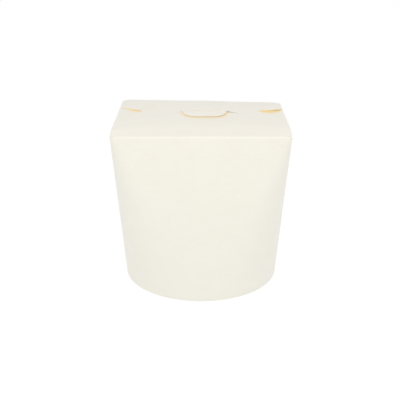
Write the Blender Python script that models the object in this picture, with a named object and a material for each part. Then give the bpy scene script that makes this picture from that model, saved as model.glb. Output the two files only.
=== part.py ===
"""A shut noodle takeaway box: a round foot, walls that run up to a rectangular lid, and four folded flaps.

The walls and the lid are one blank of board, so they are one solid, the carton. The box is shut, so that
solid is filled. The base disc is the second piece of board: it hangs in the foot, its skirt held in the hem.
The box stands on z = 0 with its axis on z. The front is towards -y, and every size is in metres.
"""

import math

import bmesh
import bpy

# Driving dimensions of the walls, measured over the board
LID_WIDTH = 0.1056
LID_DEPTH = 0.087
FOLD_HEIGHT = 0.1032
FOOT_RADIUS = 0.049
CORNER_RADIUS = 0.0025
FOLD_RADIUS = 0.001
HEM_RADIUS = 0.0006
BOARD = 0.0005
CLEARANCE = 0.0003

# The foot: the wall's hem is turned up round the skirt of the base disc
HEM_HEIGHT = 0.0066
HEM_INNER_RADIUS = 0.0464
HEM_FLOOR = 0.0007

# Lid flaps: each outline gives (distance from the fold, reach from the middle) down one side
HALF_WIDTH = LID_WIDTH / 2
HALF_DEPTH = LID_DEPTH / 2
FLAP_INSET = 0.0002
FLAP_REACH = HALF_WIDTH - FLAP_INSET
FRONT_LEFT = [(0.0, FLAP_REACH), (0.0275, FLAP_REACH), (0.0585, 0.0360), (0.0825, 0.0268)]
FRONT_RIGHT = [(0.0, FLAP_REACH), (0.0345, FLAP_REACH), (0.0585, 0.0362), (0.0810, 0.0245)]
BACK_SIDE = [(0.0, FLAP_REACH), (0.0265, FLAP_REACH), (0.0300, 0.0350)]

# How far each flap stands over the fold: fast at its sides, which lie on the folded gussets, slower between
FRONT_SIDE_LIFT = 0.0018
FRONT_LIFT = 0.0016
BACK_LEFT_LIFT = 0.0016
BACK_RIGHT_LIFT = -0.0002
BACK_SIDE_LIFT = 0.0017
BACK_LIFT = 0.0012
SIDE_RUN = 0.010
LIFT_RUN = 0.024
EMBED = 0.0006
FILLER_SETBACK = 0.003

# The lock: the back flap's tongue comes up through an arched slit in the front flap
SLIT_Y = 0.0115
SLIT_LEFT = -0.0145
SLIT_RIGHT = 0.0235
SLIT_DROP = 0.0080
SLIT_GAP = 0.0011
SLIT_DEPTH = 0.0009
TONGUE_CENTRE = 0.0022
TONGUE_HALF_WIDTH = 0.0150
TONGUE_TIP_Y = -0.0065
TONGUE_ROOT_Y = 0.0180
TONGUE_SHOULDER = 0.0060
TONGUE_TURN = math.radians(84)
TONGUE_LIFT = 0.0009
BULGE = 0.0007
BULGE_HALF_WIDTH = 0.021
BULGE_HALF_DEPTH = 0.0085
BULGE_Y = SLIT_Y + 0.004

# The side flaps: each rises to its fold and dips inward, so a wedge of shade shows on each side of the lid
SIDE_LIFT = 0.0016
SIDE_SLOPE_X = 0.0435
SIDE_INSET = 0.0001
SIDE_ROWS = 22
SIDE_COLUMNS = 5
DIP_DEPTH = 0.0012
DIP_FRONT_Y = -0.016
DIP_BACK_Y = 0.030
DIP_INNER_X = 0.028

# How finely round and bent forms are divided
FOOT_SEGMENTS = 96
CORNER_STEPS = 4
CORNER_ROWS = (0.3, 0.5, 0.75, 1.0)
FOLD_STEPS = 4
FLAP_ROWS = 14
FLAP_COLUMNS = 16
TONGUE_ROWS = 10
TONGUE_COLUMNS = 12
SLIT_STEPS = 16

BOARD_COLOUR = (0.870, 0.850, 0.760, 1.0)
DISC_COLOUR = (0.850, 0.830, 0.745, 1.0)


def clear_scene():
    """Removes every object that the scene holds."""
    for obj in list(bpy.data.objects):
        bpy.data.objects.remove(obj, do_unlink=True)


def board_material(name, colour):
    """Matte board with a thin moisture-proof film."""
    material = bpy.data.materials.new(name)
    material.use_nodes = True
    shader = material.node_tree.nodes["Principled BSDF"]
    shader.inputs["Base Color"].default_value = colour
    shader.inputs["Roughness"].default_value = 0.55
    shader.inputs["Metallic"].default_value = 0.0
    return material


def add_object(name, bm):
    """Turns a bmesh into an object of the scene, with its faces pointing out."""
    bmesh.ops.recalc_face_normals(bm, faces=bm.faces)
    mesh = bpy.data.meshes.new(name)
    bm.to_mesh(mesh)
    bm.free()
    obj = bpy.data.objects.new(name, mesh)
    bpy.context.scene.collection.objects.link(obj)
    return obj


def smooth_step(value):
    """Eases from 0 to 1 as value does, and holds at both ends."""
    held = min(max(value, 0.0), 1.0)
    return held * held * (3 - 2 * held)


def circle(radius, height):
    """Points round the box's axis."""
    turns = [2 * math.pi * i / FOOT_SEGMENTS for i in range(FOOT_SEGMENTS)]
    return [(radius * math.cos(a), radius * math.sin(a), height) for a in turns]


def rounded_rectangle(inset, height):
    """Points round the lid's outline, moved in by inset, with its corners rounded."""
    radius = CORNER_RADIUS
    reach_x = HALF_WIDTH - inset - radius
    reach_y = HALF_DEPTH - inset - radius
    points = []
    for side_x, side_y, start in ((1, 1, 0.0), (-1, 1, 0.5), (-1, -1, 1.0), (1, -1, 1.5)):
        for i in range(CORNER_STEPS + 1):
            angle = math.pi * (start + 0.5 * i / CORNER_STEPS)
            x = side_x * reach_x + radius * math.cos(angle)
            y = side_y * reach_y + radius * math.sin(angle)
            points.append((x, y, height))
    return points


def make_walls():
    """The filled walls: the hull of the round foot and the lid's outline, which is how board bends."""
    bm = bmesh.new()
    outlines = [circle(FOOT_RADIUS - HEM_RADIUS / 2, 0.0), circle(FOOT_RADIUS, HEM_RADIUS)]
    for i in range(FOLD_STEPS + 1):
        angle = 0.5 * math.pi * i / FOLD_STEPS
        inset = FOLD_RADIUS * (1 - math.cos(angle))
        height = FOLD_HEIGHT - FOLD_RADIUS * (1 - math.sin(angle))
        outlines.append(rounded_rectangle(inset, height))
    for outline in outlines:
        for point in outline:
            bm.verts.new(point)
    hull = bmesh.ops.convex_hull(bm, input=bm.verts)
    inner = {v for v in hull["geom_interior"] + hull["geom_unused"] if isinstance(v, bmesh.types.BMVert)}
    bmesh.ops.delete(bm, geom=list(inner), context="VERTS")
    return add_object("carton", bm)


def turned(name, profile):
    """A closed solid turned round the z axis from (radius, height) points that start and end on the axis."""
    bm = bmesh.new()
    points = [bm.verts.new((radius, 0.0, height)) for radius, height in profile]
    for a, b in zip(points, points[1:]):
        bm.edges.new((a, b))
    bmesh.ops.spin(
        bm, geom=bm.verts[:] + bm.edges[:], axis=(0, 0, 1), cent=(0, 0, 0),
        angle=2 * math.pi, steps=FOOT_SEGMENTS, use_merge=True,
    )
    bmesh.ops.remove_doubles(bm, verts=bm.verts, dist=1e-6)
    return add_object(name, bm)


def rounding(distance, radius):
    """How far a round corner falls back from a sharp one, at a distance from where the sharp one would be."""
    short = max(radius - max(distance, 0.0), 0.0)
    return radius - math.sqrt(radius * radius - short * short)


def reach(outline, distance):
    """How far a flap reaches from the middle, at a distance from its fold."""
    fall = rounding(distance, CORNER_RADIUS)
    for (start, near), (end, far) in zip(outline, outline[1:]):
        if distance <= end:
            return near + (far - near) * (distance - start) / (end - start) - fall
    return outline[-1][1]


def row_distances(outline, start, setback):
    """Distances from the fold at which a flap has a row, its outline's own corners among them."""
    length = outline[-1][0] - setback
    even = [start + (length - start) * i / FLAP_ROWS for i in range(FLAP_ROWS + 1)]
    corners = [CORNER_RADIUS * share for share in CORNER_ROWS] + [d for d, _ in outline]
    corners = [d for d in corners if start < d < length]
    near = length / FLAP_ROWS / 3
    return sorted([d for d in even if all(abs(d - c) > near for c in corners) or d == start] + corners)


def plate(name, rows, top_at, bottom_at):
    """A closed solid over a grid of (x, y) points, between two heights that are functions of x and y."""
    bm = bmesh.new()
    tops = [[bm.verts.new((x, y, top_at(x, y))) for x, y in row] for row in rows]
    bottoms = [[bm.verts.new((x, y, bottom_at(x, y))) for x, y in row] for row in rows]
    last_row = len(rows) - 1
    last_column = len(rows[0]) - 1
    for i in range(last_row):
        for j in range(last_column):
            for grid in (tops, bottoms):
                bm.faces.new((grid[i][j], grid[i][j + 1], grid[i + 1][j + 1], grid[i + 1][j]))
    for i in range(last_row):
        for j in (0, last_column):
            bm.faces.new((tops[i][j], tops[i + 1][j], bottoms[i + 1][j], bottoms[i][j]))
    for j in range(last_column):
        for i in (0, last_row):
            bm.faces.new((tops[i][j], tops[i][j + 1], bottoms[i][j + 1], bottoms[i][j]))
    return add_object(name, bm)


def flap_rows(left, right, fold_y, direction, start, setback=0.0):
    """The grid of a flap that starts near its fold and runs along direction, kept back from its cut edges."""
    rows = []
    for distance in row_distances(left, start, setback):
        low = -reach(left, min(distance + setback, left[-1][0]))
        high = reach(right, min(distance + setback, right[-1][0]))
        if distance + setback > left[1][0]:
            low += setback / 2
            high -= setback / 2
        y = fold_y + direction * distance
        rows.append([(low + (high - low) * j / FLAP_COLUMNS, y) for j in range(FLAP_COLUMNS + 1)])
    return rows


def between(side, middle, x):
    """A value that is one at a flap's two sides and another over its middle, at x."""
    return middle + (side - middle) * min(abs(x) / HALF_WIDTH, 1.0) ** 3


def bulge_at(x, y):
    """How far the tongue's root pushes the front flap up, behind the slit."""
    across = (x - TONGUE_CENTRE) / BULGE_HALF_WIDTH
    along = (y - BULGE_Y) / BULGE_HALF_DEPTH
    return BULGE * math.exp(-across ** 4 - along ** 2)


def front_top(x, y):
    """Height of the front flap's upper face."""
    lift = between(FRONT_SIDE_LIFT, FRONT_LIFT, x)
    share = smooth_step((y + HALF_DEPTH) / between(SIDE_RUN, LIFT_RUN, x))
    return FOLD_HEIGHT + BOARD / 2 * (share - 1) + lift * share + bulge_at(x, y)


def back_top(x, y):
    """Height of the back flap's upper face: along its fold it is higher on the left, and it evens out."""
    at_fold = BACK_LEFT_LIFT + (BACK_RIGHT_LIFT - BACK_LEFT_LIFT) * (x + HALF_WIDTH) / LID_WIDTH
    at_edge = between(BACK_SIDE_LIFT, BACK_LIFT, x)
    distance = HALF_DEPTH - y
    share = smooth_step(distance / between(SIDE_RUN, LIFT_RUN, x))
    fall = rounding(distance - FLAP_INSET, max(0.0, min(FOLD_RADIUS, at_fold + EMBED / 2)))
    return FOLD_HEIGHT + at_fold + (at_edge - at_fold) * share - fall


def tongue_top(x, y):
    """Height of the tongue's upper face: under the front flap at its root, and over it at its tip."""
    share = smooth_step((TONGUE_ROOT_Y - y) / (TONGUE_ROOT_Y - SLIT_Y + TONGUE_SHOULDER))
    return FOLD_HEIGHT + FRONT_LIFT - EMBED / 2 + share * (TONGUE_LIFT + EMBED / 2)


def side_top(x, y):
    """Height of a side flap's upper face: it rises to its fold, except towards the corners."""
    crest = SIDE_LIFT * smooth_step((HALF_DEPTH - abs(y)) / SIDE_RUN)
    outward = smooth_step((abs(x) - SIDE_SLOPE_X) / (HALF_WIDTH - SIDE_SLOPE_X))
    fall = rounding(HALF_WIDTH - abs(x), FOLD_RADIUS) / 2
    return FOLD_HEIGHT - CLEARANCE + (crest + CLEARANCE) * outward - fall


def make_side_flap(side):
    """The outer stretch of a side flap, from its fold in to where it reaches the height of the front fold."""
    reach_y = HALF_DEPTH - CORNER_RADIUS
    outer = HALF_WIDTH - SIDE_INSET
    steps = [(j / SIDE_COLUMNS) ** 2 for j in range(SIDE_COLUMNS + 1)]
    rows = []
    for i in range(SIDE_ROWS + 1):
        y = reach_y * (2 * i / SIDE_ROWS - 1)
        rows.append([(side * (outer + (SIDE_SLOPE_X - outer) * step), y) for step in steps])
    return plate("side_flap", rows, side_top, lambda x, y: FOLD_HEIGHT - FOLD_RADIUS)


def make_flaps():
    """The front and back flaps: a plate of board each, over a filler that is kept back from the cut edges."""
    floor = FOLD_HEIGHT - EMBED
    front = flap_rows(FRONT_LEFT, FRONT_RIGHT, -HALF_DEPTH, 1, FOLD_RADIUS)
    front_core = flap_rows(FRONT_LEFT, FRONT_RIGHT, -HALF_DEPTH, 1, FOLD_RADIUS, FILLER_SETBACK)
    back = flap_rows(BACK_SIDE, BACK_SIDE, HALF_DEPTH, -1, FLAP_INSET)
    back_core = flap_rows(BACK_SIDE, BACK_SIDE, HALF_DEPTH, -1, FLAP_INSET, FILLER_SETBACK)
    return [
        plate("front_flap", front, front_top, lambda x, y: front_top(x, y) - BOARD),
        plate("front_core", front_core, lambda x, y: front_top(x, y) - BOARD / 2, lambda x, y: floor),
        plate("back_flap", back, back_top, lambda x, y: back_top(x, y) - BOARD),
        plate("back_core", back_core, lambda x, y: back_top(x, y) - BOARD / 2, lambda x, y: floor),
    ]


def make_tongue():
    """The back flap's rounded tongue, lying on the front flap."""
    straight = TONGUE_ROOT_Y - TONGUE_SHOULDER
    outline = [(TONGUE_HALF_WIDTH, TONGUE_ROOT_Y)]
    for i in range(TONGUE_ROWS + 1):
        turn = TONGUE_TURN * i / TONGUE_ROWS
        half = TONGUE_HALF_WIDTH * math.cos(turn) ** 0.5
        outline.append((half, straight - (straight - TONGUE_TIP_Y) * math.sin(turn)))
    shape = [
        [(TONGUE_CENTRE + half * (2 * j / TONGUE_COLUMNS - 1), y) for j in range(TONGUE_COLUMNS + 1)]
        for half, y in outline
    ]
    return plate("tongue", shape, tongue_top, lambda x, y: tongue_top(x, y) - BOARD)


def slit_path():
    """Points along the slit, an arch whose ends turn towards the front."""
    middle = (SLIT_LEFT + SLIT_RIGHT) / 2
    half = (SLIT_RIGHT - SLIT_LEFT) / 2
    points = []
    for i in range(SLIT_STEPS + 1):
        across = 2 * i / SLIT_STEPS - 1
        points.append((middle + half * across, SLIT_Y - SLIT_DROP * abs(across) ** 4))
    return points


def make_slit_cutter():
    """A thin arched wall that opens the slit through the front flap's board."""
    path = slit_path()
    rows = [[(x, y - SLIT_GAP / 2) for x, y in path], [(x, y + SLIT_GAP / 2) for x, y in path]]
    return plate("slit_cutter", rows, lambda x, y: front_top(x, y) + BOARD,
                 lambda x, y: front_top(x, y) - SLIT_DEPTH)


def make_dip_cutter(side):
    """A wedge that lets one side flap dip inward, from near its fold down to its inner edge."""
    start = SIDE_SLOPE_X + FOLD_RADIUS
    slope = DIP_DEPTH / (start - DIP_INNER_X)
    outer = side * (HALF_WIDTH + FOLD_RADIUS)
    rows = [[(outer, y), (side * DIP_INNER_X, y)] for y in (DIP_FRONT_Y, DIP_BACK_Y)]
    return plate("dip_cutter", rows, lambda x, y: FOLD_HEIGHT + FOLD_RADIUS,
                 lambda x, y: FOLD_HEIGHT + slope * (abs(x) - start))


def channel_profile():
    """What is cut from the foot: the recess under the disc, and the channel in the hem for its skirt."""
    lip = HEM_INNER_RADIUS + BOARD
    channel = lip + 2 * CLEARANCE + BOARD
    ceiling = HEM_HEIGHT + 2 * CLEARANCE + BOARD
    return [
        (0.0, -HEM_HEIGHT), (HEM_INNER_RADIUS, -HEM_HEIGHT), (HEM_INNER_RADIUS, HEM_HEIGHT),
        (lip, HEM_HEIGHT), (lip, HEM_FLOOR), (channel, HEM_FLOOR), (channel, ceiling), (0.0, ceiling),
    ]


def disc_profile():
    """The base disc: a flat round with its rim turned down into the hem."""
    inner = HEM_INNER_RADIUS + BOARD + CLEARANCE
    outer = inner + BOARD
    under = HEM_HEIGHT + CLEARANCE
    foot = HEM_FLOOR + CLEARANCE
    return [
        (0.0, under), (inner, under), (inner, foot), (outer, foot),
        (outer, under + BOARD), (0.0, under + BOARD),
    ]


def combine(target, others, operation):
    """Joins others to target, or cuts them from it, and removes them."""
    group = bpy.data.collections.new(operation.lower())
    for other in others:
        bpy.context.scene.collection.objects.unlink(other)
        group.objects.link(other)
    bpy.context.scene.collection.children.link(group)
    modifier = target.modifiers.new(operation.lower(), "BOOLEAN")
    modifier.operation = operation
    modifier.operand_type = "COLLECTION"
    modifier.collection = group
    modifier.solver = "EXACT"
    with bpy.context.temp_override(object=target, active_object=target):
        bpy.ops.object.modifier_apply(modifier=modifier.name)
    for other in others:
        bpy.data.objects.remove(other, do_unlink=True)
    bpy.data.collections.remove(group)


def make_carton():
    """The folded blank: walls, side flaps, back flap, front flap and the tongue that locks them."""
    carton = make_walls()
    combine(carton, [make_dip_cutter(-1), make_dip_cutter(1), turned("recess_cutter", channel_profile())],
            "DIFFERENCE")
    combine(carton, make_flaps() + [make_side_flap(-1), make_side_flap(1)], "UNION")
    combine(carton, [make_slit_cutter()], "DIFFERENCE")
    combine(carton, [make_tongue()], "UNION")
    carton.data.materials.append(board_material("coated_board", BOARD_COLOUR))
    return carton


def make_base_disc():
    """The round piece of board that closes the foot."""
    disc = turned("base_disc", disc_profile())
    disc.data.materials.append(board_material("base_board", DISC_COLOUR))
    return disc


clear_scene()
make_carton()
make_base_disc()
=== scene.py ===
"""Looks of a shut noodle takeaway box: folded white board, a round foot and a tongue locked through a slit.

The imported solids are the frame. Here the carton is built again as what it is, one blank of thin board that runs
from the hem in the foot up the walls and over the lid, and the base disc as a round of board with its skirt in
that hem. The box stands on z = 0 with its axis on z, its front is towards -y, and every size is in metres.
"""
import logging
import math
from dataclasses import dataclass
from enum import Enum

import bmesh
import bpy
from mathutils import Matrix, Vector, noise


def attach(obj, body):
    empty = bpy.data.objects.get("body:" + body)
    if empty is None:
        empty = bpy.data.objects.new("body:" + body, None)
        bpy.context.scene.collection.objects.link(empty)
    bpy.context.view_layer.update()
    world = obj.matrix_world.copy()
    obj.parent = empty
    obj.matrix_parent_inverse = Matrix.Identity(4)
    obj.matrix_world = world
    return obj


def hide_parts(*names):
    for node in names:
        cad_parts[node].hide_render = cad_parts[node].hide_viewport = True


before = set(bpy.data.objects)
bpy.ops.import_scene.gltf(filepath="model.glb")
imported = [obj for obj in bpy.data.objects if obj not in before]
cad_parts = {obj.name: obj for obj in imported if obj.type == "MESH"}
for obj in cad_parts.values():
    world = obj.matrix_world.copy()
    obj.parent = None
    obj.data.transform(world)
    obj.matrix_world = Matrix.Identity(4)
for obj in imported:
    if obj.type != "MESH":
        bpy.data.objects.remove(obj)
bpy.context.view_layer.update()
BODY = "root"
LOG = logging.getLogger("noodle_box")

Row = list[Vector]
Table = tuple[tuple[float, float], ...]
Colour = tuple[float, float, float]
Verts = list[bmesh.types.BMVert]
Finishes = list[bpy.types.Material]
Tree = bpy.types.NodeTree
Socket = bpy.types.NodeSocket
Stretch = tuple[float, float, float]
WHITE: Colour = (1.0, 1.0, 1.0)
EVENLY: Stretch = (1.0, 1.0, 1.0)


class Layer(Enum):
    """The faces of a piece of board, in the order of its material slots."""

    OUTER = 0
    INNER = 1
    EDGE = 2


class Side(Enum):
    """The four sides of the lid, anticlockwise from the front as seen from above."""

    FRONT = 0
    RIGHT = 1
    BACK = 2
    LEFT = 3


class RowKind(Enum):
    """What a row of a flap's points is: an ordinary one, or one lip of the slit."""

    PLAIN = 0
    BEFORE_SLIT = 1
    BEHIND_SLIT = 2


def ease(value: float) -> float:
    """Eases from 0 to 1 as value does, and holds at both ends."""
    held = min(max(value, 0.0), 1.0)
    return held * held * (3 - 2 * held)


def mix(start: float, end: float, share: float) -> float:
    """The value at a share of the way from start to end."""
    return start + (end - start) * share


def along(table: Table, place: float, soft: bool = False) -> float:
    """Reads a value from a table.

    Args:
        table: Pairs in the order of their places.
        place: Where to read.
        soft: Whether the value eases from pair to pair instead of running straight.

    Returns:
        The value between the two pairs that the place lies between, held beyond the ends.
    """
    for (start, low), (end, high) in zip(table, table[1:]):
        if place <= end:
            share = (place - start) / (end - start)
            return mix(low, high, ease(share) if soft else max(0.0, share))
    return table[-1][1]


def steps(count: int) -> list[float]:
    """Even shares from 0 to 1, both included."""
    return [i / count for i in range(count + 1)]


def feed(tree: Tree, node: bpy.types.Node, inputs: dict[str | int, Socket | float | tuple[float, ...]]) -> None:
    """Feeds a node's inputs.

    Args:
        tree: The nodes that it is one of.
        node: The node.
        inputs: What goes into each input, by its name or number: another node's output, or a constant.
    """
    for name, value in inputs.items():
        if isinstance(value, Socket):
            tree.links.new(value, node.inputs[name])
        else:
            node.inputs[name].default_value = value


def add_object(name: str, data: bpy.types.ID) -> bpy.types.Object:
    """Puts an object with this data into the scene."""
    made = bpy.data.objects.new(name, data)
    bpy.context.scene.collection.objects.link(made)
    return made


@dataclass(frozen=True)
class BoxForm:
    """Main sizes of the box, over the outer face of its board."""

    lid_width: float = 0.1056
    lid_depth: float = 0.0870
    fold_height: float = 0.1032
    foot_radius: float = 0.0490
    corner_radius: float = 0.0025
    fold_radius: float = 0.0011
    board: float = 0.00045

    @property
    def half_width(self) -> float:
        """Half of the lid's width."""
        return self.lid_width / 2

    @property
    def half_depth(self) -> float:
        """Half of the lid's depth."""
        return self.lid_depth / 2

    @property
    def wall_top(self) -> float:
        """Height at which the walls end and their folds begin."""
        return self.fold_height - self.fold_radius

    @property
    def straight_x(self) -> float:
        """How far the front and back folds run straight from the middle."""
        return self.half_width - self.corner_radius

    @property
    def straight_y(self) -> float:
        """How far the side folds run straight from the middle."""
        return self.half_depth - self.corner_radius

    def section(self, share: float, turn: float) -> tuple[Vector, Vector]:
        """A point of the wall's level section, which is a rounded rectangle that grows out of the round foot.

        Args:
            share: Height as a share, from 0 at the foot to 1 at the folds.
            turn: Way round the section as a share of its length, anticlockwise from the middle of the front.

        Returns:
            The point and the outward direction there, both level.
        """
        radius = mix(self.foot_radius, self.corner_radius, share)
        run_x = self.straight_x * share
        run_y = self.straight_y * share
        quarter = radius * math.pi / 2
        left = (turn % 1.0) * (4 * run_x + 4 * run_y + 4 * quarter)
        runs = (run_x, 2 * run_y, 2 * run_x, 2 * run_y, run_x)
        corners = ((run_x, -run_y), (run_x, run_y), (-run_x, run_y), (-run_x, -run_y))
        starts = (Vector((0, -run_y)), Vector((run_x, -run_y)), Vector((run_x, run_y)),
                  Vector((-run_x, run_y)), Vector((-run_x, -run_y)))
        for side, run in enumerate(runs):
            angle = math.pi / 2 * (side - 1)
            out = Vector((math.cos(angle), math.sin(angle)))
            if left <= run or side == len(runs) - 1:
                point = starts[side] + out * radius + Vector((-out.y, out.x)) * left
                return point.to_3d(), out.to_3d()
            left -= run
            if left <= quarter:
                angle += left / radius
                out = Vector((math.cos(angle), math.sin(angle)))
                return (Vector(corners[side]) + out * radius).to_3d(), out.to_3d()
            left -= quarter
        raise ValueError("the way round the section is past its end")


@dataclass(frozen=True)
class FlapCut:
    """The outline of a lid flap, seen from above: its distance from the fold and its reach from the middle."""

    left: Table
    right: Table
    gusset_left: float
    gusset_right: float

    def gusset(self, x: float) -> float:
        """Where the gusset on the side of x ends, as a distance from the fold."""
        return self.gusset_left if x < 0 else self.gusset_right


@dataclass(frozen=True)
class Slit:
    """The arched slit in the front flap, which the tongue comes up through."""

    y: float = 0.0115
    left: float = -0.0149
    right: float = 0.0240
    drop: float = 0.0082
    left_power: float = 14.0
    right_power: float = 4.0
    gap: float = 0.0010
    return_run: float = 1.2

    def across(self, x: float) -> float:
        """Where x lies on the slit, from -1 at its left end to 1 at its right end."""
        return (2 * x - self.left - self.right) / (self.right - self.left)

    def shift(self, x: float) -> float:
        """How far the slit's line lies in front of its middle at x, with a soft return beyond its ends."""
        across = self.across(x)
        power = self.left_power if across < 0 else self.right_power
        return -self.drop * min(abs(across), 1.0) ** power * (1 - ease((abs(across) - 1) / self.return_run))

    def width(self, x: float) -> float:
        """How wide the slit gapes at x: not at all at its ends."""
        return self.gap * math.sqrt(max(1 - self.across(x) ** 2, 0.0))


@dataclass(frozen=True)
class Tongue:
    """The rounded tongue of the back flap."""

    centre: float = 0.0022
    half_width: float = 0.0150
    tip_y: float = -0.0033
    shoulder_y: float = 0.0115
    end_turn: float = 84.0

    def outline(self, share: float) -> tuple[float, float]:
        """The tongue's rounded part, as an arch.

        Args:
            share: Share of the way from the shoulders to the tip.

        Returns:
            Half of the tongue's width there, and the y where that is.
        """
        turn = math.radians(self.end_turn) * share
        half = self.half_width * math.sqrt(math.cos(turn))
        return half, mix(self.shoulder_y, self.tip_y, math.sin(turn))

    def rim(self, x: float) -> float | None:
        """The y of the tongue's rim at x, or None beside the tongue."""
        across = (x - self.centre) / self.half_width
        return None if abs(across) >= 1 else mix(self.shoulder_y, self.tip_y, math.sqrt(1 - across ** 4))


@dataclass(frozen=True)
class LidForm:
    """How high each flap of the lid lies, and how it is cut.

    The falls are how far a side flap drops below the rim, by the distance from its fold. The painted lights are how
    far the warm light painted into a side flap's colour next to the gap under the back flap reaches, by the same
    distance.
    """

    box: BoxForm = BoxForm()
    slit: Slit = Slit()
    tongue: Tongue = Tongue()
    front: FlapCut = FlapCut(
        left=((0.0, 0.0526), (0.0252, 0.0526), (0.0276, 0.0517), (0.0300, 0.0504), (0.0570, 0.0366),
              (0.0600, 0.0352), (0.0822, 0.0268)),
        right=((0.0, 0.0526), (0.0322, 0.0526), (0.0344, 0.0516), (0.0366, 0.0503), (0.0570, 0.0370),
               (0.0600, 0.0353), (0.0822, 0.0236)),
        gusset_left=0.0235, gusset_right=0.0318,
    )
    back: FlapCut = FlapCut(
        left=((0.0, 0.0526), (0.0228, 0.0526), (0.0300, 0.0360)),
        right=((0.0, 0.0526), (0.0268, 0.0526), (0.0300, 0.0360)),
        gusset_left=0.0224, gusset_right=0.0264,
    )
    left_fall: Table = ((0.0, 0.0), (0.0045, 0.0), (0.009, 0.0006), (0.018, 0.0008), (0.030, 0.0012))
    right_fall: Table = ((0.0, 0.0), (0.0035, 0.0004), (0.014, 0.0006), (0.030, 0.0011))
    # painted warm light next to the gap under the back flap, and on the front flap in front of the tongue
    left_painted_light: Table = ((0.0010, 0.0), (0.0035, 0.0070), (0.0095, 0.0125), (0.0130, 0.0110), (0.0160, 0.0))
    right_painted_light: Table = ((-0.0010, 0.0), (0.0020, 0.0100), (0.0095, 0.0145), (0.0135, 0.0120), (0.0170, 0.0))
    painted_light_core: float = 0.25
    painted_light_behind: float = 0.0040
    tongue_painted_light: float = 0.36
    tongue_painted_light_reach: float = 0.0085
    gusset_radius: float = 0.0005
    gusset_step: float = 0.0006
    gusset_clear: float = 0.00015
    window_clear: float = 0.0002
    rim_rise: tuple[float, float] = (0.005, 0.010)
    rim_spring: tuple[float, float] = (0.001, 0.003)
    rim_fall: tuple[float, float] = (0.0095, 0.003)
    front_side_lift: float = 0.0018
    front_lift: float = 0.0016
    back_left_lift: float = 0.0018
    back_right_lift: float = -0.0002
    back_side_lift: float = 0.0017
    back_lift: float = 0.0012
    side_run: float = 0.010
    back_side_run: float = 0.013
    lift_run: float = 0.024
    side_power: int = 3
    left_corner: tuple[float, float] = (0.0007, 0.0042)
    right_corner: tuple[float, float] = (0.0005, 0.0040)
    bulge: Table = ((0.0, 0.00050), (0.0035, 0.00058), (0.0095, 0.00080), (0.0150, 0.00070), (0.0260, 0.0))
    bulge_power: float = 1.2
    far_rise: Table = ((0.0045, 0.0005), (0.0211, -0.0003))
    far_start: float = 0.018
    press: float = 0.0003
    press_run: float = 0.030
    press_power: float = 0.8
    tip_height: float = 0.00200
    tongue_rise: Table = ((-0.0090, 0.00197), (-0.0040, 0.00190), (-0.0012, 0.00178), (0.0004, 0.00162))

    def between(self, side: float, middle: float, x: float) -> float:
        """A value that is one at a flap's two sides and another over its middle."""
        return middle + (side - middle) * min(abs(x) / self.box.half_width, 1.0) ** self.side_power

    def inward(self, x: float) -> float:
        """How far x lies from the side fold."""
        return self.box.half_width - self.box.fold_radius - abs(x)

    def back_edge(self, x: float) -> float:
        """Where the back flap's gusset ends on the side of x, along the lid."""
        return self.box.half_depth - self.back.gusset(x)

    def rim_lift(self, x: float, y: float) -> float:
        """How far the top of the wall stands over the fold's height.

        Args:
            x: Place on the lid's outline.
            y: Place on the lid's outline.

        Returns:
            The lift: none along the front, more where a side flap springs up in its window.
        """
        depth = self.box.half_depth
        back = mix(self.back_left_lift, self.back_right_lift, (x + self.box.half_width) / self.box.lid_width)
        pressed = self.front_side_lift - 2 * self.gusset_radius - self.gusset_clear
        window = self.front_side_lift - self.window_clear
        front_end, back_end = self.front.gusset(x) - depth, self.back_edge(x)
        under, beyond = self.rim_spring
        table = (
            (self.rim_rise[0] - depth, 0.0), (self.rim_rise[1] - depth, pressed),
            (front_end - under, pressed), (front_end + beyond, window),
            (back_end - beyond, window), (back_end + under, pressed),
            (depth - self.rim_fall[0], pressed), (depth - self.rim_fall[1], back),
        )
        away = math.hypot(self.box.half_width - abs(x), depth - y)
        corner_fall, corner_run = self.left_corner if x < 0 else self.right_corner
        return along(table, y, soft=True) - corner_fall * (1 - ease(away / corner_run))

    def bulge_at(self, x: float, y: float) -> float:
        """How far the tongue pushes the front flap up or down.

        Args:
            x: Place across the lid.
            y: Place along the lid.

        Returns:
            The push, which is negative in front of the slit.
        """
        middle = max(1 - self.slit.across(x) ** 2, 0.0)
        away = y - self.slit.y - self.slit.shift(x)
        if away >= 0:
            return along(self.bulge, away, soft=True) * middle ** self.bulge_power
        return -self.press * middle ** self.press_power * (1 - ease(-away / self.press_run))

    def front_top(self, x: float, y: float) -> float:
        """Where the front flap lies, without what the tongue does to it.

        Args:
            x: Place across the lid.
            y: Place along the lid.

        Returns:
            Height of its outer face.
        """
        lift = self.between(self.front_side_lift, self.front_lift, x)
        run = self.between(self.side_run, self.lift_run, x)
        far = ease((y - self.far_start) / (self.box.half_depth - self.far_start))
        propped = along(self.far_rise, x) * far
        return self.box.fold_height + lift * ease((y + self.box.half_depth) / run) + propped

    def back_top(self, x: float, y: float) -> float:
        """Where the back flap lies.

        Args:
            x: Place across the lid.
            y: Place along the lid.

        Returns:
            Height of its outer face.
        """
        at_fold = self.rim_lift(x, self.box.half_depth)
        at_edge = self.between(self.back_side_lift, self.back_lift, x)
        run = self.between(self.back_side_run, self.lift_run, x)
        return self.box.fold_height + mix(at_fold, at_edge, ease((self.box.half_depth - y) / run))

    def side_top(self, x: float, y: float) -> float:
        """Height of a side flap's outer face: it falls from its fold towards the middle."""
        fall = self.right_fall if x > 0 else self.left_fall
        return self.box.fold_height + self.rim_lift(x, y) - along(fall, self.inward(x))

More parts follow.
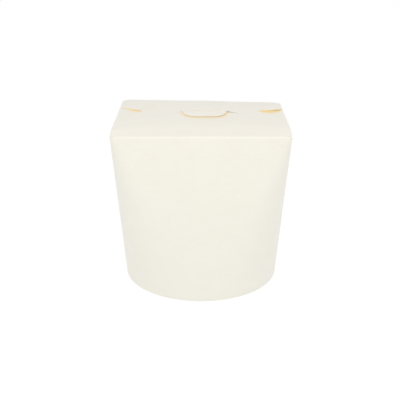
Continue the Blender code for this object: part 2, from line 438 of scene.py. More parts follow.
    def side_painted_light(self, x: float, y: float) -> float:
        """How much warm light is painted on a side flap next to the gap under the back flap.

        Args:
            x: Place across the lid.
            y: Place along the lid.

        Returns:
            The share, from 0 to 1.
        """
        reach = along(self.right_painted_light if x > 0 else self.left_painted_light, self.inward(x))
        away = self.back_edge(x) - self.gusset_step - y
        if reach <= 0:
            return 0.0
        if away <= 0:
            return 1 - ease(-away / self.painted_light_behind)
        return 1 - ease((away / reach - self.painted_light_core) / (1 - self.painted_light_core))

    def front_painted_light(self, x: float, y: float) -> float:
        """How much warm light is painted on the front flap next to the gap under the tongue's tip.

        Args:
            x: Place across the lid.
            y: Place along the lid.

        Returns:
            The share, from 0 to 1.
        """
        rim = self.tongue.rim(x)
        if rim is None or y > self.slit.y + self.slit.shift(x):
            return 0.0
        return self.tongue_painted_light * (1 - ease((rim - y) / self.tongue_painted_light_reach))

    def tongue_top(self, x: float, y: float) -> float:
        """Where the tongue lies: from under the front flap, up through the slit, to its lifted tip.

        Args:
            x: Place across the lid.
            y: Place along the lid.

        Returns:
            Height of its outer face.
        """
        table = ((self.tongue.tip_y - self.slit.y, self.tip_height), *self.tongue_rise,
                 (0.0030, self.back_lift + 0.0001), (0.0060, self.back_lift))
        return self.box.fold_height + along(table, y - self.slit.y - self.slit.shift(x))


@dataclass(frozen=True)
class BoardFinish:
    """White board with its fibres, cloudiness and film, as one procedural material.

    It whitens along creases. Its colour also holds painted shade, warmer and darker in blue where faces lie close
    together, and painted warm light next to the gaps of the lid.
    """

    name: str
    colour: Colour
    cloud: Colour
    roughness: float
    fibre_depth: float
    film: float = 0.0
    roughness_spread: float = 0.05
    fibre_scale: float = 1400.0
    fibre_stretch: Stretch = (1.0, 1.0, 0.22)
    fleck_stretch: Stretch = (0.35, 1.0, 1.0)
    cloud_scale: float = 95.0
    fleck_share: float = 0.45
    fleck_colour: Colour = (0.985, 0.982, 0.975)
    crease_colour: Colour = (0.902, 0.880, 0.784)
    # share of the painted gap shade that stays on creases
    painted_shade_on_creases: float = 0.1
    # painted shade and painted warm light: the colour multiplied in, how far the shade reaches, and the occlusion
    # that maps to it
    painted_shade_and_light_colour: Colour = (1.08, 0.83, 0.35)
    painted_shade_reach: float = 0.010
    painted_shade_range: tuple[float, float] = (0.72, 0.96)
    bump_strength: float = 0.5
    cloud_range: tuple[float, float] = (0.35, 0.65)
    fleck_range: tuple[float, float] = (0.3, 0.7)
    cloud_relief: float = 0.8
    ior: float = 1.46
    film_roughness: float = 0.38

    def material(self) -> bpy.types.Material:
        """Makes the material.

        Returns:
            A material whose colour, roughness and bump come from noise in the object's own coordinates.
        """
        made = bpy.data.materials.new(self.name)
        made.use_nodes = True
        tree = made.node_tree
        shader = tree.nodes["Principled BSDF"]
        shader.inputs["Metallic"].default_value = 0.0
        shader.inputs["IOR"].default_value = self.ior
        shader.inputs["Coat Weight"].default_value = self.film
        shader.inputs["Coat Roughness"].default_value = self.film_roughness
        place = tree.nodes.new("ShaderNodeTexCoord").outputs["Object"]

        clouds = self._noise(tree, place, EVENLY, self.cloud_scale, detail=5.0)
        fibres = self._noise(tree, place, self.fibre_stretch, self.fibre_scale, detail=4.0)
        flecks = self._noise(tree, place, self.fleck_stretch, self.fibre_scale * self.fleck_share, detail=3.0)

        cloudy = self._blend(tree, self._range(tree, clouds, *self.cloud_range), self.colour, self.cloud)
        grain = self._blend(tree, self._range(tree, flecks, *self.fleck_range), self.fleck_colour, WHITE)
        crease = self._painted(tree, "crease")
        worn = self._blend(tree, crease, self._blend(tree, 1.0, cloudy, grain, "MULTIPLY"), self.crease_colour)
        # painted shade and painted warm light, multiplied into the base colour
        painted_shade_and_light = self._blend(tree, self._painted_light_and_shade(tree, crease), WHITE, self.painted_shade_and_light_colour)
        low, high = self.roughness - self.roughness_spread, self.roughness + self.roughness_spread
        bump = tree.nodes.new("ShaderNodeBump")
        relief = self._math(tree, "ADD", fibres, self._range(tree, clouds, 0.0, 1.0, 0.0, self.cloud_relief))
        feed(tree, bump, {"Strength": self.bump_strength, "Distance": self.fibre_depth, "Height": relief})
        feed(tree, shader, {
            "Base Color": self._blend(tree, 1.0, worn, painted_shade_and_light, "MULTIPLY"),
            "Roughness": self._range(tree, clouds, *self.fleck_range, low, high),
            "Normal": bump.outputs["Normal"],
        })
        return made

    def _painted_light_and_shade(self, tree: Tree, crease: Socket) -> Socket:
        """Finds where painted shade and painted warm light go: warm painted shade in closed places that aren't
        creases, and painted warm light where the sheet's points carry it.

        Args:
            tree: The material's nodes.
            crease: How much the board is creased.

        Returns:
            The share of painted shade and light, from 0 to 1.
        """
        # occlusion by the object's own faces drives the painted shade
        openness = tree.nodes.new("ShaderNodeAmbientOcclusion")
        openness.inputs["Distance"].default_value = self.painted_shade_reach
        openness.samples = 8
        openness.only_local = True
        closed = self._math(tree, "MULTIPLY", self._range(tree, openness.outputs["AO"], *self.painted_shade_range, 1.0, 0.0),
                            self._range(tree, crease, 0.0, 1.0, 1.0, self.painted_shade_on_creases))
        return self._math(tree, "MAXIMUM", closed, self._painted(tree, "painted_light"))

    @staticmethod
    def _painted(tree: Tree, name: str) -> Socket:
        """Reads the value of this name that the sheet's points carry."""
        node = tree.nodes.new("ShaderNodeAttribute")
        node.attribute_name = name
        return node.outputs["Fac"]

    @staticmethod
    def _math(tree: Tree, operation: str, first: Socket, second: Socket) -> Socket:
        """Works out one value from two.

        Args:
            tree: The material's nodes.
            operation: What is done with the values.
            first: The first value.
            second: The second value.

        Returns:
            The result.
        """
        node = tree.nodes.new("ShaderNodeMath")
        node.operation = operation
        feed(tree, node, {0: first, 1: second})
        return node.outputs["Value"]

    @staticmethod
    def _noise(tree: Tree, place: Socket, stretch: Stretch, scale: float, detail: float) -> Socket:
        """Adds noise over stretched coordinates.

        Args:
            tree: The material's nodes.
            place: The coordinates.
            stretch: Scale of the coordinates along each axis.
            scale: Scale of the noise, in features for each metre.
            detail: Levels of finer noise.

        Returns:
            The noise's value.
        """
        mapping = tree.nodes.new("ShaderNodeMapping")
        feed(tree, mapping, {"Scale": stretch, "Vector": place})
        texture = tree.nodes.new("ShaderNodeTexNoise")
        feed(tree, texture, {"Scale": scale, "Detail": detail, "Roughness": 0.6, "Vector": mapping.outputs["Vector"]})
        return texture.outputs["Fac"]

    @staticmethod
    def _range(tree: Tree, value: Socket, low: float, high: float, start: float = 0.0, end: float = 1.0) -> Socket:
        """Maps the values from low to high to the values from start to end.

        Args:
            tree: The material's nodes.
            value: The value to map.
            low: Value that becomes start.
            high: Value that becomes end.
            start: Result at low.
            end: Result at high.

        Returns:
            The mapped value.
        """
        node = tree.nodes.new("ShaderNodeMapRange")
        feed(tree, node, {"From Min": low, "From Max": high, "To Min": start, "To Max": end, "Value": value})
        return node.outputs["Result"]

    @staticmethod
    def _blend(tree: Tree, share: Socket | float, first: Socket | Colour, second: Socket | Colour,
               kind: str = "MIX") -> Socket:
        """Mixes two colours by a share.

        Args:
            tree: The material's nodes.
            share: The share of the second colour.
            first: Colour at share 0.
            second: Colour at share 1, or the colour that the first is multiplied by.
            kind: "MIX" or "MULTIPLY".

        Returns:
            The mixed colour.
        """
        node = tree.nodes.new("ShaderNodeMix")
        node.data_type = "RGBA"
        node.blend_type = kind
        feed(tree, node, {"Factor": share})
        for name, value in (("A", first), ("B", second)):
            feed(tree, node, {name: value if isinstance(value, Socket) else (*value, 1.0)})
        return node.outputs["Result"]


class BoardMesh:
    """Gathers the outer face of folded board and gives it the board's thickness."""

    def __init__(self) -> None:
        """Starts with no points."""
        self.bm = bmesh.new()
        self.crease = self.bm.verts.layers.float.new("crease")
        # painted warm light that each point carries
        self.painted_light = self.bm.verts.layers.float.new("painted_light")

    def row(self, points: Row, crease: float = 0.0, painted_light: list[float] | None = None) -> Verts:
        """Adds a row of points.

        Args:
            points: The points in order.
            crease: How much the board is creased there, from 0 to 1.
            painted_light: How much warm light is painted on each point next to a gap, from 0 to 1, or nothing for
                none.

        Returns:
            The new vertices in the same order.
        """
        made = []
        for point, warm in zip(points, painted_light or [0.0] * len(points)):
            vert = self.bm.verts.new(point)
            vert[self.crease] = crease
            vert[self.painted_light] = warm
            made.append(vert)
        return made

    def strip(self, low: Verts, high: Verts, closed: bool = False) -> None:
        """Joins two rows by faces that look outwards.

        Args:
            low: The row that comes first, run anticlockwise.
            high: The next row, with as many vertices.
            closed: Whether the rows' last vertices join their first ones.
        """
        count = len(low) if closed else len(low) - 1
        for i in range(count):
            k = (i + 1) % len(low)
            ring = []
            for vert in (low[i], low[k], high[k], high[i]):
                if vert not in ring:
                    ring.append(vert)
            if len(ring) > 2 and self.bm.faces.get(ring) is None:
                self.bm.faces.new(ring)

    def solid(self, name: str, board: float, finishes: Finishes) -> bpy.types.Object:
        """Turns the gathered face into an object of thin board.

        Args:
            name: The object's name.
            board: Thickness, which goes inwards.
            finishes: Materials of the outer face, the inner face and the cut edges.

        Returns:
            The object, with its thickness applied and its cut edges sharp.
        """
        bmesh.ops.remove_doubles(self.bm, verts=self.bm.verts, dist=2e-6)
        bmesh.ops.dissolve_degenerate(self.bm, edges=self.bm.edges, dist=1e-6)
        mesh = bpy.data.meshes.new(name)
        self.bm.to_mesh(mesh)
        self.bm.free()
        piece = add_object(name, mesh)
        for finish in finishes:
            mesh.materials.append(finish)
        thick = piece.modifiers.new("board", "SOLIDIFY")
        thick.thickness = board
        thick.offset = -1.0
        thick.use_even_offset = False
        thick.material_offset = Layer.INNER.value
        thick.material_offset_rim = Layer.EDGE.value
        with bpy.context.temp_override(object=piece, active_object=piece):
            bpy.ops.object.modifier_apply(modifier=thick.name)
        mesh.shade_smooth()
        mesh.set_sharp_from_angle(angle=math.radians(42))
        return piece


@dataclass
class Carton:
    """The one blank of board that makes the walls, the hem in the foot and the lid."""

    lid: LidForm
    hem_radius: float = 0.0013
    hem_height: float = 0.0066
    wall_rows: int = 60
    fold_rows: int = 5
    long_columns: int = 84
    short_columns: int = 96
    corner_columns: int = 10
    gusset_columns: int = 9
    gusset_fold_columns: int = 6
    gusset_start: float = 0.0034
    slit_wear: float = 0.9
    tight_bend: float = 0.00026
    wave: float = 0.00012
    wave_scale: float = 28.0
    corner_crest: float = 0.62
    corner_lip: float = 0.0012
    corner_lip_run: float = 0.75
    hem_rows: int = 5
    roll_rows: int = 8
    roll_wear: float = 0.35
    end_wear: float = 0.25
    end_wear_run: float = 0.002
    fold_wear: float = 0.8
    fold_wear_run: float = 0.004
    fan_run: float = 0.003
    fan_clear: float = 0.0002
    gather_run: float = 0.02
    near_rows: tuple[float, ...] = (0.0018, 0.0026, 0.0036, 0.0048)
    row_step: float = 0.00115
    even_start: int = 5
    row_clear: float = 0.0005
    slit_clear: float = 0.0008
    slit_order: float = 1e-7
    slit_front: float = -1e-6
    slit_pull: float = 0.011
    bend_run: float = 0.005
    gusset_reach: float = 0.96
    gusset_wear: float = 0.4
    tongue_slack: float = 1e-5
    neck_rows: int = 3
    tongue_rows: int = 26
    tongue_wear_rows: int = 8
    tongue_wear: float = 0.6
    tongue_painted_light_run: float = 0.0012
    side_length: float = 0.0385
    side_rows: int = 34
    side_spread: float = 1.3
    side_wear: float = 0.6

    def __post_init__(self) -> None:
        """Sets out the columns that run up the wall."""
        self.box = self.lid.box
        self.sheet = BoardMesh()
        self.columns: list[tuple[Side | None, float]] = []
        for side in Side:
            count = self.long_columns if side in (Side.FRONT, Side.BACK) else self.short_columns
            self.columns += [(side, share) for share in steps(count)]
            self.columns += [(None, share) for share in steps(self.corner_columns)[1:-1]]
        self.turns = self._turns()

    def _turns(self) -> list[float]:
        """Works out where the columns stand on the section.

        Returns:
            Each column's place as a share of the way round.
        """
        lengths = {Side.FRONT: 2 * self.box.straight_x, Side.BACK: 2 * self.box.straight_x,
                   Side.RIGHT: 2 * self.box.straight_y, Side.LEFT: 2 * self.box.straight_y}
        quarter = self.box.corner_radius * math.pi / 2
        whole = sum(lengths.values()) + 4 * quarter
        start = -self.box.straight_x
        turns = []
        last = Side.FRONT
        for side, share in self.columns:
            if side is None:
                turns.append((start + lengths[last] + quarter * share) / whole)
                continue
            if side is not last:
                start += lengths[last] + quarter
                last = side
            turns.append((start + lengths[side] * share) / whole)
        return turns

    def _ripple(self, point: Vector) -> float:
        """How far the board falls back at a point, as it is never quite flat."""
        return self.wave * (0.5 + 0.5 * noise.noise(point * self.wave_scale))

    def _ring(self, height: float, inset: float) -> Row:
        """Sets out a row of the wall round the foot.

        Args:
            height: Height of the row.
            inset: How far the row is moved in.

        Returns:
            The row's points.
        """
        made = []
        for turn in self.turns:
            point, out = self.box.section(height / self.box.wall_top, turn)
            made.append(point - out * inset + Vector((0, 0, height)))
        return made

    def _wall_row(self, share: float) -> Row:
        """Sets out a row of the wall, from the hem up to the folds.

        Args:
            share: Share of the wall's height.

        Returns:
            The row's points.
        """
        made = []
        for turn in self.turns:
            top_point, _ = self.box.section(1.0, turn)
            top = self.box.wall_top + self.lid.rim_lift(top_point.x, top_point.y)
            height = mix(self.hem_radius, top, share)
            point, out = self.box.section(height / top, turn)
            flat = 4 * share * (1 - share)
            made.append(point - out * self._ripple(point + Vector((0, 0, height))) * flat + Vector((0, 0, height)))
        return made

    def _fold_row(self, bend: float) -> Row:
        """Sets out a row of the fold at the top of the wall.

        Args:
            bend: Share of the fold's quarter turn.

        Returns:
            The row's points.
        """
        angle = bend * math.pi / 2
        inset = self.box.fold_radius * (1 - math.cos(angle))
        rise = self.box.fold_radius * math.sin(angle)
        made = []
        for (side, share), turn in zip(self.columns, self.turns):
            point, out = self.box.section(1.0, turn)
            base = self.box.wall_top + self.lid.rim_lift(point.x, point.y)
            crest = 1.0 if side else mix(1.0, self.corner_crest, math.sin(math.pi * share))
            made.append(point - out * inset + Vector((0, 0, base + rise * crest)))
        return made

    def _corner_lip(self, crest: Verts) -> None:
        """Turns the board down into the small open pinch at each corner.

        Args:
            crest: The vertices along the top of the folds.
        """
        for run in self._corner_runs():
            outer = [crest[i] for i in run]
            point, out = self.box.section(1.0, self.turns[run[len(run) // 2]])
            centre = point - out * self.box.corner_radius
            lips = []
            for vert in outer:
                place = vert.co.to_2d() + (centre - vert.co).to_2d() * self.corner_lip_run
                lips.append(Vector((place.x, place.y, vert.co.z - self.corner_lip)))
            self.sheet.strip(outer, self.sheet.row(lips))

    def _corner_runs(self) -> list[list[int]]:
        """Finds the columns of the corners.

        Returns:
            For each corner the columns' numbers, with the last straight column on both sides.
        """
        runs = []
        count = len(self.columns)
        for i, (side, _) in enumerate(self.columns):
            if side is not None and self.columns[(i + 1) % count][0] is None:
                runs.append([(i + k) % count for k in range(self.corner_columns + 1)])
        return runs

    def _side_run(self, crest: Verts, side: Side) -> Verts:
        """The vertices of the crest on one straight side."""
        return [vert for vert, (found, _) in zip(crest, self.columns) if found is side]

    def build_walls(self) -> Verts:
        """Builds the hem, the walls and the folds.

        Returns:
            The vertices along the top of the folds, one for each column.
        """
        rows = [(self._ring(mix(self.hem_height, self.hem_radius, share), 2 * self.hem_radius), 0.0)
                for share in steps(self.hem_rows)]
        for share in steps(self.roll_rows)[1:-1]:
            angle = math.pi * (1 - share)
            height = max(self.hem_radius * (1 - math.sin(angle)), 0.0)
            rows.append((self._ring(height, self.hem_radius * (1 - math.cos(angle))), self.roll_wear))
        rows += [(self._wall_row(share), self.end_wear if share == 1.0 else 0.0) for share in steps(self.wall_rows)]
        rows += [(self._fold_row(share), self.fold_wear) for share in steps(self.fold_rows)[1:]]
        last: Verts = []
        for points, crease in rows:
            row = self.sheet.row(points, crease)
            if last:
                self.sheet.strip(last, row, closed=True)
            last = row
        self._corner_lip(last)
        return last

    def _fan(self, distance: float) -> float:
        """How far a flap's side has still to spread, near its fold."""
        short = max(1 - (distance - self.box.fold_radius) / self.fan_run, 0.0)
        return (self.box.corner_radius - self.fan_clear) * (1 - math.sqrt(max(1 - short * short, 0.0)))

    def build_flap(self, crest: Verts, side: Side) -> None:
        """Builds the front or back flap with the gussets that are folded under its sides.

        Args:
            crest: The vertices along the top of the folds.
            side: Side.FRONT or Side.BACK.
        """
        front = side is Side.FRONT
        cut = self.lid.front if front else self.lid.back
        sign = 1 if front else -1
        start = -sign * self.box.half_depth
        tables = (cut.left, cut.right) if front else (cut.right, cut.left)
        gussets = (cut.gusset_left, cut.gusset_right) if front else (cut.gusset_right, cut.gusset_left)
        last = self._side_run(crest, side)
        last_wings: list[Verts] = [[], []]
        for distance, kind in self._flap_rows(front):
            y = start + sign * distance
            low, high = (self._reach(table, gusset, distance) for table, gusset in zip(tables, gussets))
            points = []
            for share in steps(self.long_columns):
                gathered = self._flap_x(front, share, low, high)
                x = sign * mix(mix(-low, high, share), gathered, ease(distance / self.gather_run))
                points.append(self._flap_point(front, x, y, kind))
            wear = self._edge_wear(distance, tables[0][-1][0]) if kind is RowKind.PLAIN else self.slit_wear
            # the front flap carries painted warm light in front of the tongue's tip
            row = self.sheet.row(points, wear, [self.lid.front_painted_light(p.x, p.y) for p in points] if front else None)
            if kind is RowKind.BEHIND_SLIT:
                row = [old if abs(self.lid.slit.across(new.co.x)) >= 1 else new for old, new in zip(last, row)]
            else:
                self.sheet.strip(last, row)
            wings = [self._wing(vert, front, y, reach) if self.gusset_start < distance <= gusset else []
                     for vert, reach, gusset in zip((row[0], row[-1]), (low, high), gussets)]
            if last_wings[0] and wings[0]:
                self.sheet.strip(last_wings[0][::-1] + [last[0]], wings[0][::-1] + [row[0]])
            if last_wings[1] and wings[1]:
                self.sheet.strip([last[-1]] + last_wings[1], [row[-1]] + wings[1])
            last, last_wings = row, wings
        if not front:
            self._build_tongue(last)
        loose = [v for v in self.sheet.bm.verts if not v.link_faces]
        bmesh.ops.delete(self.sheet.bm, geom=loose, context="VERTS")

    def _flap_x(self, front: bool, share: float, low: float, high: float) -> float:
        """Gathers a flap's column on the slit's ends or on the tongue.

        Args:
            front: Whether it is the front flap.
            share: The column's share of the flap's columns.
            low: The flap's reach on the first column's side.
            high: Its reach on the last column's side.

        Returns:
            The place, from -low to high.
        """
        slit, tongue = self.lid.slit, self.lid.tongue
        if front:
            table = ((0.0, -low), (0.22, slit.left - 0.0012), (0.36, slit.left + 0.0040), (0.56, 0.0100),
                     (0.76, min(slit.right + 0.0006, 0.8 * high)), (1.0, high))
        else:
            table = ((0.0, -low), (0.36, -tongue.centre - tongue.half_width),
                     (0.64, -tongue.centre + tongue.half_width), (1.0, high))
        return along(table, share)

    def _reach(self, table: Table, gusset: float, distance: float) -> float:
        """How far a flap's flat part reaches to one side.

        Args:
            table: The flap's outline on this side.
            gusset: Distance from the fold at which the gusset ends.
            distance: Distance from the flap's fold.

        Returns:
            The reach from the lid's middle.
        """
        reach = along(table, distance) - self._fan(distance)
        if not self.gusset_start < distance <= gusset:
            return reach
        return reach - self._gusset_bend(distance)

    def _gusset_bend(self, distance: float) -> float:
        """Radius of the fold between a flap and its gusset, which opens away from the corner."""
        return mix(self.tight_bend, self.lid.gusset_radius, ease((distance - self.gusset_start) / self.bend_run))

    def _flap_rows(self, front: bool) -> list[tuple[float, RowKind]]:
        """Sets out a flap's rows, closely where its form changes and evenly between.

        Args:
            front: Whether it is the front flap.

        Returns:
            Each row's distance from the flap's fold and its kind, in order.
        """
        cut = self.lid.front if front else self.lid.back
        end = cut.left[-1][0]
        marks = {*self.near_rows, end}
        for gusset in (cut.gusset_left, cut.gusset_right):
            marks |= {gusset, gusset + self.lid.gusset_step}
        marks |= {place for place, _ in cut.left + cut.right if self.near_rows[-1] < place < end}
        even = [place * self.row_step for place in range(self.even_start, int(end / self.row_step))]
        marks |= {d for d in even if all(abs(d - m) > self.row_clear for m in marks)}
        rows = [(distance, RowKind.PLAIN) for distance in sorted(marks)]
        if front:
            slit = self.lid.slit.y + self.box.half_depth
            rows = [row for row in rows if abs(row[0] - slit) > self.slit_clear]
            rows += [(slit, RowKind.BEFORE_SLIT), (slit + self.slit_order, RowKind.BEHIND_SLIT)]
        return sorted(rows, key=lambda row: row[0])

    def _flap_point(self, front: bool, x: float, y: float, kind: RowKind = RowKind.PLAIN) -> Vector:
        """A point of a flap's outer face.

        Args:
            front: Whether it is the front flap.
            x: Place across the lid.
            y: Place along the lid, before the slit bends the rows.
            kind: What kind of row the point is on.

        Returns:
            The point, with the slit's arch and the push of the tongue.
        """
        if not front:
            return Vector((x, y, self.lid.back_top(x, y) - self._ripple(Vector((x, y, 0)))))
        slit = self.lid.slit
        pull = math.exp(-((y - slit.y) / self.slit_pull) ** 2)
        place = y + slit.shift(x) * pull
        if kind is RowKind.BEFORE_SLIT:
            place -= slit.width(x) / 2
        if kind is RowKind.BEHIND_SLIT:
            place += slit.width(x) / 2
        away = self.slit_front if kind is RowKind.BEFORE_SLIT else place - slit.y - slit.shift(x)
        push = self.lid.bulge_at(x, slit.y + slit.shift(x) + away)
        return Vector((x, place, self.lid.front_top(x, y) + push - self._ripple(Vector((x, y, 0)))))

    def _edge_wear(self, distance: float, end: float) -> float:
        """How worn a flap is at a distance from its fold: whitened along the fold and at the free edge."""
        worn_end = self.end_wear * ease((distance - end + self.end_wear_run) / self.end_wear_run)
        return self.fold_wear * (1 - ease(distance / self.fold_wear_run)) + worn_end

    def _wing(self, vert: bmesh.types.BMVert, front: bool, y: float, reach: float) -> Verts:
        """The part of a gusset's row that continues a flap's row: a tight fold, then the gusset under the flap.

        Args:
            vert: Last vertex of the flap's row on this side.
            front: Whether it is the front flap.
            y: Place of the row along the lid.
            reach: How far the flap's flat part reaches.

        Returns:
            The new vertices, from the fold inwards.
        """
        sign = math.copysign(1.0, vert.co.x)
        distance = self.box.half_depth - abs(y)
        radius = self._gusset_bend(distance)
        points = []
        for share in steps(self.gusset_fold_columns)[1:]:
            angle = math.pi * share
            points.append(vert.co + Vector((sign * radius * math.sin(angle), 0, radius * (math.cos(angle) - 1))))
        inner = min(distance - self.box.fold_radius, reach) * self.gusset_reach
        for share in steps(self.gusset_columns)[1:]:
            x = vert.co.x - sign * inner * share
            points.append(Vector((x, vert.co.y, self._flap_point(front, x, y).z - 2 * radius)))
        return self.sheet.row(points, self.gusset_wear)

    def _build_tongue(self, edge: Verts) -> None:
        """Continues the back flap's front edge as the tongue, up through the slit.

        Args:
            edge: The vertices of the back flap's front edge.
        """
        tongue = self.lid.tongue
        last = [vert for vert in edge if abs(vert.co.x - tongue.centre) <= tongue.half_width + self.tongue_slack]
        middle = [(vert.co.x - tongue.centre) / tongue.half_width for vert in last]
        rows = [(tongue.half_width, mix(last[0].co.y, tongue.shoulder_y, share))
                for share in steps(self.neck_rows)[1:]]
        rows += [tongue.outline(share) for share in steps(self.tongue_rows)[1:]]
        for i, (half, y) in enumerate(rows):
            across = [tongue.centre + half * place for place in middle]
            points = [Vector((x, y, self.lid.tongue_top(x, y))) for x in across]
            # painted warm light along the tongue's tip
            painted_light = self.lid.tongue_painted_light * ease((y - tongue.tip_y - self.tongue_painted_light_run) / -self.tongue_painted_light_run)
            wear = mix(self.slit_wear, self.tongue_wear, ease(i / self.tongue_wear_rows))
            row = self.sheet.row(points, wear, [painted_light] * len(points))
            self.sheet.strip(last, row)
            last = row

    def build_side_flap(self, crest: Verts, side: Side) -> None:
        """Builds a side flap, which lies under the others and shows in the window beside them.

        Args:
            crest: The vertices along the top of the folds.
            side: Side.RIGHT or Side.LEFT.
        """
        sign = 1 if side is Side.RIGHT else -1
        last = self._side_run(crest, side)
        for share in steps(self.side_rows)[1:]:
            distance = mix(self.box.fold_radius, self.side_length, share ** self.side_spread)
            half = min(self.box.straight_y, self.box.half_depth - self.lid.gusset_step - distance)
            x = sign * (self.box.half_width - distance)
            points = []
            for place in steps(self.short_columns):
                y = sign * mix(-half, half, place)
                points.append(Vector((x, y, self.lid.side_top(x, y) - self._ripple(Vector((x, y, 0))))))
            # painted warm light next to the gap under the back flap
            painted_light = [self.lid.side_painted_light(x, point.y) for point in points]
            row = self.sheet.row(points, self.side_wear * (1 - ease(distance / self.fold_wear_run)), painted_light)
            self.sheet.strip(last, row)
            last = row

    def build(self, finishes: Finishes) -> bpy.types.Object:
        """Builds the whole blank.

        Args:
            finishes: Materials of the outer face, the inner face and the cut edges.

        Returns:
            The carton as one object.
        """
        crest = self.build_walls()
        for side in (Side.RIGHT, Side.LEFT):
            self.build_side_flap(crest, side)
        for side in (Side.BACK, Side.FRONT):
            self.build_flap(crest, side)
        return self.sheet.solid("carton_board", self.box.board, finishes)


@dataclass
class BaseDisc:
    """The round of board in the foot, with its skirt turned down into the hem."""

    skirt_radius: float = 0.0477
    bend_radius: float = 0.0009
    top: float = 0.0074
    skirt_end: float = 0.0012
    bow: float = 0.0002
    bow_run: float = 0.25
    pleat_depth: float = 0.00008
    pleats: int = 72
    pleat_fade: float = 0.002
    segments: int = 288
    skirt_rows: int = 8
    bend_rows: int = 6
    flat_rows: int = 24
    board: float = 0.00045

    def build(self, finishes: Finishes) -> bpy.types.Object:
        """Builds the disc from its middle outwards and down its pleated skirt.

        Args:
            finishes: Materials of the upper face, the under face and the cut edge.

        Returns:
            The disc as one object.
        """
        sheet = BoardMesh()
        profile = [(self.skirt_radius, mix(self.skirt_end, self.top - self.bend_radius, share))
                   for share in steps(self.skirt_rows)]
        for share in steps(self.bend_rows)[1:]:
            angle = math.pi / 2 * share
            profile.append((self.skirt_radius - self.bend_radius * (1 - math.cos(angle)),
                            self.top - self.bend_radius * (1 - math.sin(angle))))
        flat = self.skirt_radius - self.bend_radius
        for share in steps(self.flat_rows)[1:-1]:
            profile.append((flat * (1 - share), self.top - self.bow * ease(share / self.bow_run)))
        last: Verts = []
        for radius, height in profile:
            points = []
            fade = ease((radius - flat + self.pleat_fade) / self.pleat_fade)
            for i in range(self.segments):
                angle = math.tau * i / self.segments
                pleated = radius - self.pleat_depth * fade * (0.5 + 0.5 * math.cos(self.pleats * angle))
                points.append(Vector((pleated * math.cos(angle), pleated * math.sin(angle), height)))
            row = sheet.row(points)
            if last:
                sheet.strip(last, row, closed=True)
            last = row
        middle = sheet.row([Vector((0, 0, self.top - self.bow))])[0]
        for i, vert in enumerate(last):
            sheet.bm.faces.new((vert, last[(i + 1) % len(last)], middle))
        return sheet.solid("base_disc_board", self.board, finishes)


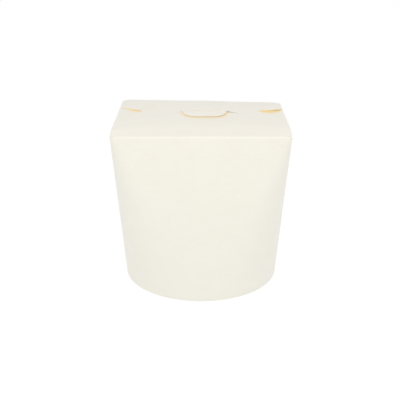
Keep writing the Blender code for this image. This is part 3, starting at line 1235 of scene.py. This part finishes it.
@dataclass
class Studio:
    """A pale floor, even soft light and the camera."""

    camera_place: tuple[float, float, float] = (0.00062, -0.4803, 0.2267)
    pitch_degrees: float = 20.36
    yaw_degrees: float = 0.149
    lens: float = 71.0
    floor_radius: float = 30.0
    floor_grey: float = 0.12
    floor_roughness: float = 0.9
    floor_glow: float = 0.90
    horizon: float = 0.79
    zenith: float = 0.885
    backdrop: float = 1.1
    sky_colour: Colour = (0.965, 0.955, 1.0)
    key: float = 0.36
    key_colour: Colour = (1.0, 0.97, 0.82)
    key_place: tuple[float, float, float] = (0.0, -0.25, 0.40)
    key_aim: tuple[float, float, float] = (0.0, 0.0, 0.09)
    key_size: float = 0.26

    def build_floor(self) -> bpy.types.Object:
        """Builds the floor as a wide round sheet.

        Returns:
            The floor.
        """
        bm = bmesh.new()
        bmesh.ops.create_circle(bm, cap_ends=True, segments=96, radius=self.floor_radius)
        mesh = bpy.data.meshes.new("floor")
        bm.to_mesh(mesh)
        bm.free()
        floor = add_object("floor", mesh)
        finish = bpy.data.materials.new("pale_floor")
        finish.use_nodes = True
        shader = finish.node_tree.nodes["Principled BSDF"]
        shader.inputs["Base Color"].default_value = (*[self.floor_grey] * 3, 1.0)
        shader.inputs["Roughness"].default_value = self.floor_roughness
        shader.inputs["Specular IOR Level"].default_value = 0.0
        shader.inputs["Emission Color"].default_value = (*WHITE, 1.0)
        shader.inputs["Emission Strength"].default_value = self.floor_glow
        mesh.materials.append(finish)
        return floor

    def build_light(self) -> None:
        """Sets a soft sky that is brighter overhead, and one broad panel over the front of the box."""
        scene = bpy.context.scene
        world = bpy.data.worlds.new("soft_sky")
        world.use_nodes = True
        tree = world.node_tree
        sky = tree.nodes["Background"]
        sky.inputs["Color"].default_value = (*self.sky_colour, 1.0)
        direction = tree.nodes.new("ShaderNodeTexCoord").outputs["Generated"]
        split = tree.nodes.new("ShaderNodeSeparateXYZ")
        rise = tree.nodes.new("ShaderNodeMapRange")
        strength = tree.nodes.new("ShaderNodeMix")
        seen = tree.nodes.new("ShaderNodeLightPath").outputs["Is Camera Ray"]
        feed(tree, split, {"Vector": direction})
        feed(tree, rise, {"To Min": self.horizon, "To Max": self.zenith, "Value": split.outputs["Z"]})
        feed(tree, strength, {"Factor": seen, "A": rise.outputs["Result"], "B": self.backdrop})
        feed(tree, sky, {"Strength": strength.outputs["Result"]})
        scene.world = world
        light = bpy.data.lights.new("key_panel", "AREA")
        light.size = self.key_size
        light.energy = self.key
        light.color = self.key_colour
        panel = add_object("key_panel", light)
        panel.location = self.key_place
        panel.rotation_euler = (Vector(self.key_aim) - panel.location).to_track_quat("-Z", "Y").to_euler()
        panel.visible_camera = False
        scene.view_settings.view_transform = "Standard"
        scene.view_settings.look = "None"

    def build_camera(self) -> None:
        """Stands the camera where the photograph was taken from."""
        data = bpy.data.cameras.new("camera")
        data.lens = self.lens
        data.sensor_width = 36.0
        data.clip_start = 0.01
        data.clip_end = 100.0
        camera = add_object("camera", data)
        camera.location = self.camera_place
        turn = Matrix.Rotation(math.radians(self.yaw_degrees), 4, "Z")
        camera.rotation_euler = (turn @ Matrix.Rotation(math.radians(90 - self.pitch_degrees), 4, "X")).to_euler()
        bpy.context.scene.camera = camera


def settle(piece: bpy.types.Object, node: str) -> None:
    """Puts a piece on the frame in the place of its solid, and reports it.

    Args:
        piece: The piece.
        node: The solid that it stands for.
    """
    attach(piece, BODY)
    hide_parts(node)
    LOG.info("%s stands for %s with %d faces", piece.name, node, len(piece.data.polygons))


def main() -> None:
    """Builds the studio and the box, one class after the other."""
    logging.basicConfig(level=logging.INFO, format="%(name)s: %(message)s")
    studio = Studio()
    studio.build_camera()
    studio.build_light()
    studio.build_floor()

    coated = BoardFinish("coated_board", (0.890, 0.873, 0.778), (0.880, 0.863, 0.766), roughness=0.50,
                         fibre_depth=0.00002, film=0.06)
    inner = BoardFinish("inner_board", (0.900, 0.860, 0.730), (0.890, 0.845, 0.705), roughness=0.66,
                        fibre_depth=0.00003)
    # the cut edges and the base disc take a weaker painted gap shade
    edge = BoardFinish("cut_edge", (0.895, 0.884, 0.815), (0.870, 0.855, 0.775), roughness=0.80,
                       fibre_depth=0.00004, fibre_scale=2600.0, painted_shade_and_light_colour=(1.04, 0.98, 0.84))
    disc = BoardFinish("base_board", (0.872, 0.852, 0.752), (0.855, 0.834, 0.730), roughness=0.56,
                       fibre_depth=0.00003, film=0.06, painted_shade_and_light_colour=(1.0, 0.98, 0.93), painted_shade_reach=0.004,
                       painted_shade_range=(0.78, 0.99))
    coated_material, inner_material, edge_material = coated.material(), inner.material(), edge.material()

    carton = Carton(LidForm()).build([coated_material, inner_material, edge_material])
    settle(carton, "carton")
    base = BaseDisc().build([inner_material, disc.material(), edge_material])
    settle(base, "base_disc")


if __name__ == "__main__":
    main()
